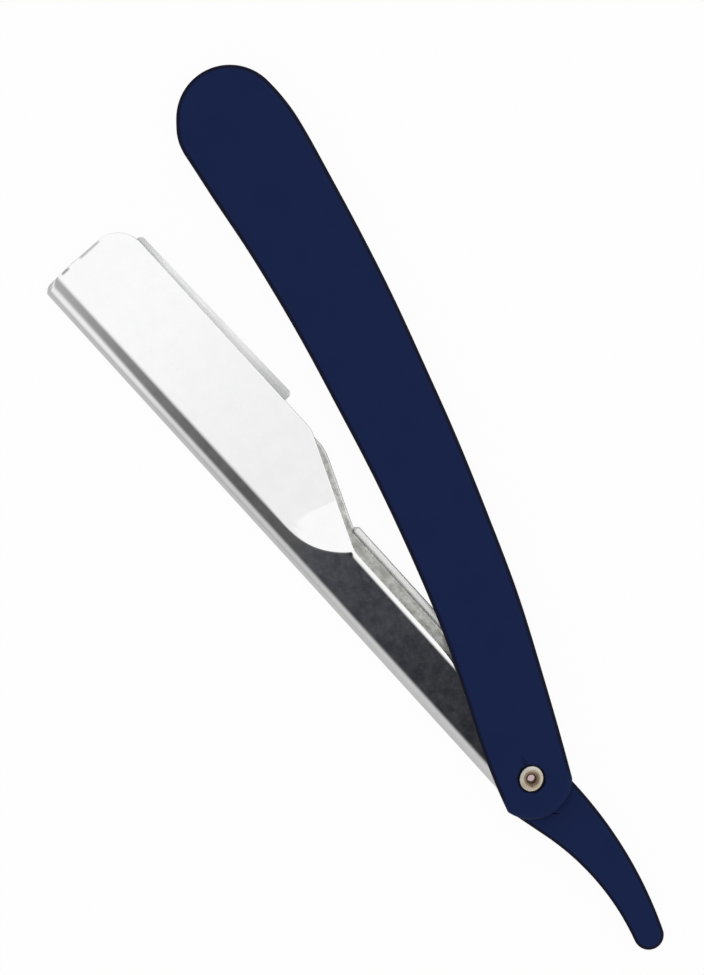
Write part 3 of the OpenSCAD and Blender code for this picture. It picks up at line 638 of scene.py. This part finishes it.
def tail_outline(d):
    """Outline of the tail in the arm's axes, moved in by d: a straight line from under the scales
    into the hollow, the round tip, the bow home, and the round seat against the end of the arm."""
    bow_c = np.array([-TAIL_BOW_X, TAIL_BOW_R - TAIL_BOW_Y])
    tip_x = TAIL_TIP_R - TAIL_LEN
    drop = math.sqrt((TAIL_BOW_R - TAIL_TIP_R) ** 2 - (tip_x + TAIL_BOW_X) ** 2)
    tip_c = np.array([tip_x, bow_c[1] - drop])
    rise = TAIL_HOLLOW_R + TAIL_HOLLOW_Y - tip_c[1]
    run = math.sqrt((TAIL_HOLLOW_R + TAIL_TIP_R) ** 2 - rise ** 2)
    hollow_c = tip_c + np.array([run, rise])
    root_a = TAIL_ROOT_SLANT - math.pi / 2
    start = hollow_c + (TAIL_HOLLOW_R + d) * direction(root_a)
    root_y = start[1] + (TAIL_ROOT_X - start[0]) * math.tan(TAIL_ROOT_SLANT)
    root = np.array([TAIL_ROOT_X, root_y])
    low = TAIL_BOW_Y - d
    bow_end = np.array([-TAIL_BOW_X, -low])
    bow_start = np.array([-math.sqrt(TAIL_SEAT_R ** 2 - low ** 2), -low])
    seat = np.linspace(bearing((0, 0), bow_start) + 2 * math.pi, bearing((0, 0), root), 33)
    return np.concatenate([
        np.linspace(root, start, 13)[:-1],
        arc(hollow_c, TAIL_HOLLOW_R + d, root_a, bearing(hollow_c, tip_c), 80),
        arc(tip_c, TAIL_TIP_R - d, bearing(tip_c, hollow_c), bearing(bow_c, tip_c) + 2 * math.pi, 48),
        arc(bow_c, TAIL_BOW_R - d, bearing(bow_c, tip_c), -math.pi / 2, 90),
        np.linspace(bow_end, bow_start, 3)[:-1],
        TAIL_SEAT_R * direction(seat)])


def tail_shell():
    """Tail: lower face, round rim, wall, round rim and upper face as rings of its outline. The
    faces close on a cubic midway between the hollow and the bow, in steps of a millimetre."""
    x = tail_outline(0.0)[:, 0]
    core_x = np.clip(np.round(x), math.ceil(TAIL_TIP_R - TAIL_LEN), math.floor(-TAIL_SEAT_R - 1.0))
    span = (core_x + TAIL_SEAT_R) / (TAIL_TIP_R - TAIL_LEN + TAIL_SEAT_R)
    core = np.stack([core_x, 0.3 - 1.1 * span + 3.95 * span ** 3], axis=1)
    rim = np.radians(np.linspace(0, 90, 11))
    upper = [at_height(tail_outline(TAIL_RIM_R * (1 - math.cos(a))),
                       FOLD_R - TAIL_RIM_R * (1 - math.sin(a))) for a in rim]
    upper += [at_height(tail_outline(TAIL_RIM_R + FLAT_MARGIN), FOLD_R), at_height(core, FOLD_R)]
    lower = [r * np.array([1.0, 1.0, -1.0]) for r in upper[::-1]]
    # Painted shade: 1 on the wall, fading over the round rim to 0 on the faces.
    shade = list(1 - smoothstep(np.degrees(rim), 62, 90)) + [0.0, 0.0]
    rings = np.stack([turned_open(r) for r in lower + upper])
    rim_shade = np.array(shade[::-1] + shade)[:, None]
    return make_piece("tail_shell", [(rings, False, True, rim_shade)], "arm",
                      NAVY, ("tail",))


# Blade arm

def edge_line(x):
    """Front edge of the arm at x: shank, shoulder slope, head and round tip corner."""
    slope = (HEAD_EDGE_HEEL - SHANK_EDGE) / (SHOULDER_END - SHANK_LEN)
    shoulder = -SHANK_EDGE - slope * (x - SHANK_LEN)
    rise = (HEAD_EDGE_HEEL - HEAD_EDGE_TIP) / (ARM_LEN - SHOULDER_END)
    head = -HEAD_EDGE_HEEL + rise * (x - SHOULDER_END)
    edge = soft_max(soft_min(-SHANK_EDGE, shoulder, 0.2), head, 0.16)
    corner_x = ARM_LEN - TIP_R
    fall = np.sqrt(np.clip(TIP_R ** 2 - np.clip(x - corner_x, 0, TIP_R) ** 2, 0, None))
    tip = TIP_R - HEAD_EDGE_TIP - fall
    edge = np.where(x > corner_x, tip, edge)
    end = np.sqrt(np.clip(ARM_END_R ** 2 - np.minimum(x, 0) ** 2, 0, None))
    return np.where(x < 0, np.maximum(edge, -end), edge)


def spine_line(x):
    """Outside of the spine at x, with its round corner at the tip and the round end of the shank."""
    corner_x, corner_y = ARM_LEN - SPINE_TIP_R, SPINE + FOLD_R / 4 - SPINE_TIP_R
    fall = np.sqrt(np.clip(SPINE_TIP_R ** 2 - np.clip(x - corner_x, 0, SPINE_TIP_R) ** 2, 0, None))
    end = np.sqrt(np.clip(ARM_END_R ** 2 - np.minimum(x, 0) ** 2, 0, None))
    return np.minimum(np.minimum(SPINE, corner_y + fall), end)


def panel_depth(x, y):
    """Depth of the outer face under the flat of the shank: a plane that falls from the crease, which
    is softened to a hyperbola, and a slight dish next to the scoop. A smooth wall along the scoop's
    circle holds both inside it."""
    crease = CREASE_Y + CREASE_DRIFT * (x - CREASE_FROM)
    fall = PANEL_SLOPE * soft_max(crease - y, 0, CREASE_SOFT)
    from_centre = np.hypot(np.minimum(x - SCOOP_X, 0), y - SCOOP_Y)
    inside = SCOOP_R - from_centre
    scooped = 1 - smoothstep(x, SCOOP_X - SCOOP_FADE, SCOOP_X + SCOOP_FADE)
    wall = 1 - scooped * (1 - smoothstep(inside, SCOOP_FOOT, SCOOP_TOP))
    dished = 1 - smoothstep(x, DISH_START, DISH_END + DISH_SLANT * y)
    dish = DISH_SLOPE * np.clip(CREASE_Y - y, 0, None) * dished
    return wall * (fall + dish)


def tip_edge_shade(x, y):
    """Painted shade on the outer face: 1 and 0.75 on two stretches of the tip's edge, 0 everywhere else.
    """
    near_spine = smoothstep(y, -0.5, 0.1) * (1 - smoothstep(y, 1.1, 1.7))
    near_edge = smoothstep(y, -7.6, -6.6) * (1 - smoothstep(y, -3.2, -2.4))
    return (near_spine + 0.75 * near_edge) * smoothstep(x, ARM_LEN - 0.66, ARM_LEN - 0.40)


def arm_stations():
    """Places along the arm: close together at both ends and over the scoop."""
    quarter = np.linspace(0, math.pi / 2, 15)
    return np.concatenate([
        -ARM_END_R * np.cos(quarter)[1:11],
        np.linspace(-2, 2, 25)[:-1],
        np.linspace(2, 44, 32)[:-1],
        np.linspace(44, 66, 84)[:-1],
        np.linspace(66, ARM_LEN - TIP_R, 40)[:-1],
        ARM_LEN - TIP_R + (TIP_R - TIP_BRIM) * np.sin(np.linspace(0, math.pi / 2, 30))])


def pivot_hole(outer, inner):
    """Round hole through both leaves: the quads that lie inside it are masked out, the points round
    that mask move out along their own bearing to the hole's radius, and a wall joins both faces."""
    r = np.hypot(outer[..., 0], outer[..., 1])
    corner = r < PIVOT_HOLE_R
    cut = corner[:-1, :-1] & corner[1:, :-1] & corner[:-1, 1:] & corner[1:, 1:]
    touched = np.zeros_like(corner)
    kept = np.zeros_like(corner)
    for i, j in ((0, 0), (1, 0), (0, 1), (1, 1)):
        window = slice(i, i + cut.shape[0]), slice(j, j + cut.shape[1])
        touched[window] |= cut
        kept[window] |= ~cut
    rim = touched & kept
    walls = []
    for face in (outer, inner):
        grow = PIVOT_HOLE_R / np.hypot(face[rim][:, 0], face[rim][:, 1])
        face[rim] = face[rim] * np.stack([grow, grow, np.ones_like(grow)], axis=1)
    for leaf in (rim & (outer[..., 2] > 0), rim & (outer[..., 2] < 0)):
        order = np.argsort(np.arctan2(outer[leaf][:, 1], outer[leaf][:, 0]))
        walls.append((np.stack([outer[leaf][order], inner[leaf][order]]), False, True, None))
    return cut, walls


def arm_sheet():
    """Blade arm: the outer face is carried along the arm as one section, from the front edge over
    the curl, the leaf and the rolled spine to the other front edge. The curl is a parabola that ends
    in a cubic lip, and the roll is half an ellipse. The inner face is the same surface moved in by
    the sheet's thickness, the cut edges are half-ellipses between the two, and a small patch closes
    each corner."""
    x = arm_stations()[:, None]
    edge, spine = edge_line(x), spine_line(x)
    width = spine - edge
    roll_r = np.minimum(FOLD_R + ROLL_GROWTH * smoothstep(x, ROLL_START, ROLL_END), 0.45 * width)
    strip = np.minimum(CURL_W, 0.25 * width)
    curled = 1 - smoothstep(x, SHANK_LEN - 0.8, SHANK_LEN + 0.5)

    bend = np.linspace(1, 0, 12)[None, :-1]
    curl_y = edge + strip * (1 - bend * (1 - curled) - np.sin(bend * math.pi / 2) * curled)
    into = strip * np.sin(bend * math.pi / 2)
    lip = np.clip((into - strip) / LIP_W + 1, 0, 1)
    curl_drop = CURL_BOW * into ** 2 + LIP_SLOPE * LIP_W * lip ** 3 / 3
    curl_z = FOLD_R - panel_depth(x, curl_y) - curled * curl_drop

    share = np.linspace(0, 1, 72)[None, :-1]
    leaf_y = edge + strip + (spine - roll_r - edge - strip) * share
    leaf_z = FOLD_R - panel_depth(x, leaf_y)

    turn = np.linspace(math.pi / 2, 0, 17)[None, :]
    roll_y = spine - roll_r + roll_r * np.cos(turn)
    roll_z = FOLD_R * np.sin(turn) - panel_depth(x, roll_y) * np.sin(turn)

    y = np.concatenate([curl_y, leaf_y, roll_y], axis=1)
    z = np.concatenate([curl_z, leaf_z, roll_z], axis=1)
    y = np.concatenate([y, y[:, -2::-1]], axis=1)
    z = np.concatenate([z, -z[:, -2::-1]], axis=1)
    outer = np.stack([np.broadcast_to(x, y.shape), y, z], axis=-1)

    along = np.gradient(outer, axis=0)
    across = np.gradient(outer, axis=1)
    normal = np.cross(across, along)
    normal /= np.linalg.norm(normal, axis=-1, keepdims=True)
    middle = outer.shape[1] // 4
    normal *= np.sign(normal[len(x) // 2, middle, 2])
    inner = outer - SHEET_T * normal
    cut, walls = pivot_hole(outer, inner)
    # The tip's painted edge shade, kept as the rim attribute.
    tip_shade = tip_edge_shade(outer[..., 0], outer[..., 1])
    patches = [(outer, False, False, tip_shade, cut), (inner, False, False, None, cut)] + walls
    half_turn = np.linspace(0, math.pi, 7)[:, None, None]
    brims = []
    for row, beside, line, brim_w in ((outer[0], outer[1], normal[0], EDGE_BRIM),
                                      (outer[-1], outer[-2], normal[-1], TIP_BRIM),
                                      (outer[:, 0], outer[:, 1], normal[:, 0], EDGE_BRIM),
                                      (outer[:, -1], outer[:, -2], normal[:, -1], EDGE_BRIM)):
        away = row - beside
        away /= np.linalg.norm(away, axis=-1, keepdims=True)
        away -= line * np.sum(away * line, axis=-1, keepdims=True)
        brim = (row - 0.5 * SHEET_T * line)[None] + 0.5 * SHEET_T * np.cos(half_turn) * line[None]
        brim = brim + brim_w * np.sin(half_turn) * away[None]
        patches.append((brim, False, False, tip_edge_shade(row[:, 0], row[:, 1])[None]))
        brims.append(brim)
    heel, tip, front, back = brims
    for end, at in ((heel, 0), (tip, -1)):
        patches.append((np.stack([end[:, 0], front[:, at]]), False, False, None))
        patches.append((np.stack([end[:, -1], back[:, at]]), False, False, None))
    patches = [(turned_open(p), *rest) for p, *rest in patches]
    return make_piece("arm_sheet", patches, "arm", STEEL, ("blade_arm",), 40.0)


# Blade carrier

def carrier_plate():
    """Carrier: a closed section along the arm, flat above and below, with a round edge that swells
    into the bead along the thumb tab. A quadratic fillet leads up to the bead, a power of the
    cosine squares its outer side, and a turned ring makes the eye."""
    slope = (HEAD_EDGE_HEEL - SHANK_EDGE) / (SHOULDER_END - SHANK_LEN)
    tip_turn = CARRIER_TIP_R * np.sin(np.linspace(0, math.pi / 2, 16))
    x = np.concatenate([
        np.linspace(2.2, TAB_START - TAB_RAMP, 8), np.linspace(TAB_START - TAB_RAMP, TAB_START, 12)[1:],
        TAB_START + np.linspace(0.1, 0.8, 8), np.linspace(27.2, 51.6, 40),
        TAB_END - np.linspace(0.8, 0.0, 9), np.linspace(52.6, 64.6, 24),
        np.linspace(65, CARRIER_TIP - CARRIER_TIP_R, 30)[:-1],
        CARRIER_TIP - CARRIER_TIP_R + tip_turn])[:, None]
    stem = np.full_like(x, STEM_HALF)
    ramp = np.clip((x - TAB_START + TAB_RAMP) / TAB_RAMP, 0, 1)
    stem = stem + (TAB_EDGE - BEAD_R - STEM_HALF) * ramp
    seat = SHANK_EDGE + CARRIER_SHOW + slope * (x - SHANK_LEN)
    front = CARRIER_EDGE + FLARE * (1 - smoothstep(x, FLARE_START, FLARE_END))
    low = np.where(x < TAB_END, stem, soft_min(seat, front, 0.4))
    into = np.clip(x - CARRIER_TIP + CARRIER_TIP_R, 0, CARRIER_TIP_R)
    low = low - CARRIER_TIP_R + np.sqrt(CARRIER_TIP_R ** 2 - into ** 2)
    bead = smoothstep(x, TAB_START - 0.1, TAB_START + 0.9)
    bead = bead * (1 - smoothstep(x, TAB_END - 0.8, TAB_END))
    half = (PLATE_TOP - PLATE_LOW) / 2

    centre_y = -low + (1 - bead) * half
    centre_z = PLATE_LOW + half + bead * half
    radius = half + bead * (BEAD_R - half)
    first = BEAD_START * bead + (1 - bead) * math.pi / 2
    last = 1.5 * math.pi + bead * (math.pi / 2 - math.asin(2 * half / BEAD_R))
    turn = first + (last - first) * np.linspace(0, 1, 33)[None]
    swing = np.cos(turn)
    out = np.where(swing < 0, -np.abs(swing) ** (1 - BEAD_SQUARE * bead), swing)
    edge_y, edge_z = centre_y + radius * out, centre_z + radius * np.sin(turn)
    inset = FILLET_W + 0.4 * smoothstep(x, TAB_END - 0.2, TAB_END + 0.4)
    ease = np.linspace(0, 1, 6)[None, :-1]
    step_up = edge_z[:, :1] - PLATE_TOP
    foot = edge_y[:, :1] + FILLET_RUN * step_up
    fillet_y = (1 - ease) ** 2 * (foot + inset) + 2 * ease * (1 - ease) * foot + ease ** 2 * edge_y[:, :1]
    fillet_z = PLATE_TOP + ease ** 2 * step_up
    flat_y = foot + inset + FLAT_MARGIN
    edge_y = np.concatenate([flat_y, fillet_y, edge_y, edge_y[:, -1:] + inset], axis=1)
    edge_z = np.concatenate([PLATE_TOP + 0 * x, fillet_z, edge_z, edge_z[:, -1:]], axis=1)
    # Painted highlight on the round edge and the bead, rising over the fillet; kept as the rim attribute.
    painted_edge_tone = np.concatenate([[0.0], ease[0] ** 3, np.ones(turn.shape[1]), [0.0]])[None] + 0 * x
    back_turn = np.linspace(-math.pi / 2, math.pi / 2, 9)[None]
    back_y = STEM_HALF - half + half * np.cos(back_turn) + 0 * x
    back_z = PLATE_LOW + half + half * np.sin(back_turn) + 0 * x
    y = np.concatenate([edge_y, back_y], axis=1)
    z = np.concatenate([edge_z, back_z], axis=1)
    section = np.stack([np.broadcast_to(x, y.shape), y, z], axis=-1)
    bright = np.concatenate([painted_edge_tone, np.zeros(back_turn.shape[1])[None] + 0 * x], axis=1)
    caps = [np.stack([np.broadcast_to(s.mean(0), s.shape), s]) for s in (section[0], section[-1])]
    ring_turn = np.linspace(0, 2 * math.pi, 73)[:-1]
    ring = revolved(np.array([[PIVOT_HOLE_R, PLATE_TOP], [EYE_R, PLATE_TOP], [EYE_R, PLATE_LOW],
                              [PIVOT_HOLE_R, PLATE_LOW]]), ring_turn)
    patches = [(section, False, True, bright)] + [(c, False, True, None) for c in caps]
    patches.append((ring, True, True, None))
    patches = [(turned_open(p), *rest) for p, *rest in patches]
    return make_piece("carrier_plate", patches, "carrier", DULL, ("blade_carrier",))


scale_shell("front_scale_shell", 1.0, EYELET_SEAT, "front_scale")
scale_shell("back_scale_shell", -1.0, BACK_SEAT, "back_scale")
wedge_block()
eyelet_roll()
tail_shell()
arm_sheet()
carrier_plate()

for node, finish in (("eyelet_washer", EYELET_BRASS), ("front_pivot_washer", WASHER_BRASS),
                     ("back_pivot_washer", WASHER_BRASS), ("tail_rivets", STEEL),
                     ("blade_studs", DULL), ("razor_blade", BLADE)):
    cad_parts[node].data.materials.clear()
    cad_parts[node].data.materials.append(finish)


# Studio

def pale_floor():
    """White table: to the camera mostly an even white that keeps a faint shadow of the razor, to the
    metal an even grey, and shaded where it shows through the eyelet."""
    corners = np.array([[-3, -3], [3, -3], [3, 3], [-3, 3]], float)
    mesh = bpy.data.meshes.new("floor")
    mesh.from_pydata([(x, y, FLOOR_Z) for x, y in corners], [], [(0, 1, 2, 3)])
    material, tree, output = set_up_material("white_table")
    rays = tree.nodes.new("ShaderNodeLightPath")
    table = add_node(tree, "ShaderNodeBsdfDiffuse", {"Color": (0.74, 0.74, 0.74, 1)})
    place = object_place(tree)
    from_axis = add_node(tree, "ShaderNodeVectorMath", {
        0: place, 1: (0, 0, FLOOR_Z)}, operation="DISTANCE").outputs["Value"]
    clear = ranged(tree, from_axis, BARREL_R * MM, FLANGE_R * MM, 0.0, 1.0)
    tint = mixed(tree, clear, (0.56, 0.43, 0.44, 1), (1, 1, 1, 1))
    strength = maths(tree, "MULTIPLY_ADD", rays.outputs["Is Glossy Ray"], -0.5, 1.0)
    even = add_node(tree, "ShaderNodeEmission", {"Color": tint, "Strength": strength})
    seen = maths(tree, "MULTIPLY", rays.outputs["Is Camera Ray"], 0.96)
    mirrored = maths(tree, "MULTIPLY_ADD", rays.outputs["Is Glossy Ray"], 0.9, seen)
    share = maths(tree, "MULTIPLY_ADD", rays.outputs["Is Transmission Ray"], 0.9, mirrored)
    surface = add_node(tree, "ShaderNodeMixShader", {0: share})
    tree.links.new(table.outputs[0], surface.inputs[1])
    tree.links.new(even.outputs[0], surface.inputs[2])
    tree.links.new(surface.outputs[0], output.inputs["Surface"])
    mesh.materials.append(material)
    floor = bpy.data.objects.new("floor", mesh)
    bpy.context.scene.collection.objects.link(floor)


def studio_world():
    """White tent for the metal: a dark gap straight overhead that fades along the arm, a greyer
    band low down, a faint grey patch that the head mirrors next to the scoop, and an even light for
    everything else. tilt and lean are a ray's angles from straight up, across and along the arm."""
    world = bpy.data.worlds.new("studio")
    world.use_nodes = True
    bpy.context.scene.world = world
    tree = world.node_tree
    tree.nodes.clear()
    output = tree.nodes.new("ShaderNodeOutputWorld")
    way = tree.nodes.new("ShaderNodeTexCoord").outputs["Generated"]
    turned = add_node(tree, "ShaderNodeVectorRotate", {"Vector": way, "Angle": -OPEN_ANGLE},
                      rotation_type="Z_AXIS")
    parts = add_node(tree, "ShaderNodeSeparateXYZ", {0: turned.outputs["Vector"]})
    along_arm, to_spine, up = parts.outputs
    tilt = maths(tree, "ARCTAN2", to_spine, up)
    lean = maths(tree, "ARCSINE", along_arm)
    deg = math.radians(1.0)

    step = ranged(tree, lean, -1.6 * deg, 2.4 * deg, 0.0, 1.0, "LINEAR")
    low_light = maths(tree, "MULTIPLY_ADD", step, -0.43, 0.93)
    low_band = ranged(tree, up, 0.0, 0.75, low_light, 1.0)
    spine_share = maths(tree, "MULTIPLY_ADD", maths(tree, "POWER", step, 2.0), 0.28, 0.56)
    spine_rise = ranged(tree, tilt, 0.5 * deg, 41 * deg, 0.0, spine_share)
    edge_side = ranged(tree, tilt, -4.4 * deg, -2.2 * deg, 1.0, 0.0)
    ridge = maths(tree, "MAXIMUM", spine_rise, edge_side)
    late = maths(tree, "MULTIPLY", maths(tree, "POWER", step, 5.0), 0.26)
    middle = ranged(tree, step, 0.30, 0.44, 0.022, 0.050)
    fade = maths(tree, "MULTIPLY_ADD", step, 0.09, maths(tree, "ADD", late, middle))
    before = ranged(tree, lean, -16 * deg, -5 * deg, 1.0, 0.0)
    gap = maths(tree, "MAXIMUM", ridge, before)
    tent = add_node(tree, "ShaderNodeMix", {0: gap, 2: fade, 3: 1.0}).outputs[0]
    grey_in = ranged(tree, lean, -0.9 * deg, -0.1 * deg, 0.0, 0.10)
    grey_out = ranged(tree, lean, 0.3 * deg, 2.2 * deg, 1.0, 0.0)
    grey_side = ranged(tree, tilt, -8.0 * deg, -7.0 * deg, 0.0, 1.0)
    grey = maths(tree, "MULTIPLY", maths(tree, "MULTIPLY", grey_in, grey_out), grey_side)
    greyed = maths(tree, "SUBTRACT", 1.0, grey)
    glossy = maths(tree, "MULTIPLY", maths(tree, "MULTIPLY", tent, low_band), greyed)

    rays = tree.nodes.new("ShaderNodeLightPath")
    plain = add_node(tree, "ShaderNodeMix", {0: rays.outputs["Is Glossy Ray"], 2: 0.55, 3: glossy})
    shown = add_node(tree, "ShaderNodeMix", {
        0: rays.outputs["Is Camera Ray"], 2: plain.outputs[0], 3: 1.0})
    shade = ranged(tree, tent, 0.05, 0.10, 0.0, 1.0)
    tone = mixed(tree, shade, (0.94, 0.98, 1.20, 1), (1, 1, 1, 1))
    light = add_node(tree, "ShaderNodeBackground", {"Color": tone, "Strength": shown.outputs[0]})
    tree.links.new(light.outputs[0], output.inputs["Surface"])


def soft_lamp():
    """One wide soft lamp straight above, which the metal doesn't mirror."""
    lamp = bpy.data.lights.new("soft_lamp", "AREA")
    lamp.shape, lamp.size, lamp.energy = "DISK", 1.6, 22.0
    holder = bpy.data.objects.new("soft_lamp", lamp)
    holder.location = (PHOTO_CENTRE[0], PHOTO_CENTRE[1], 2.2)
    holder.visible_glossy = False
    holder.visible_camera = False
    bpy.context.scene.collection.objects.link(holder)


def photo_camera():
    """Camera square above the razor, framed as the photograph."""
    lens = bpy.data.cameras.new("camera")
    lens.lens, lens.sensor_width = LENS, 36.0
    camera = bpy.data.objects.new("camera", lens)
    up = np.array([PHOTO_UP[0], PHOTO_UP[1], 0.0])
    up /= np.linalg.norm(up)
    right = np.cross(up, (0, 0, 1.0))
    distance = PHOTO_HEIGHT * LENS / lens.sensor_width
    matrix = np.eye(4)
    matrix[:3, 0], matrix[:3, 1], matrix[:3, 2] = right, up, (0, 0, 1)
    matrix[:3, 3] = (PHOTO_CENTRE[0], PHOTO_CENTRE[1], distance)
    camera.matrix_world = matrix.T.tolist()
    bpy.context.scene.collection.objects.link(camera)
    bpy.context.scene.camera = camera


pale_floor()
studio_world()
soft_lamp()
photo_camera()
bpy.context.scene.view_settings.view_transform = "Standard"
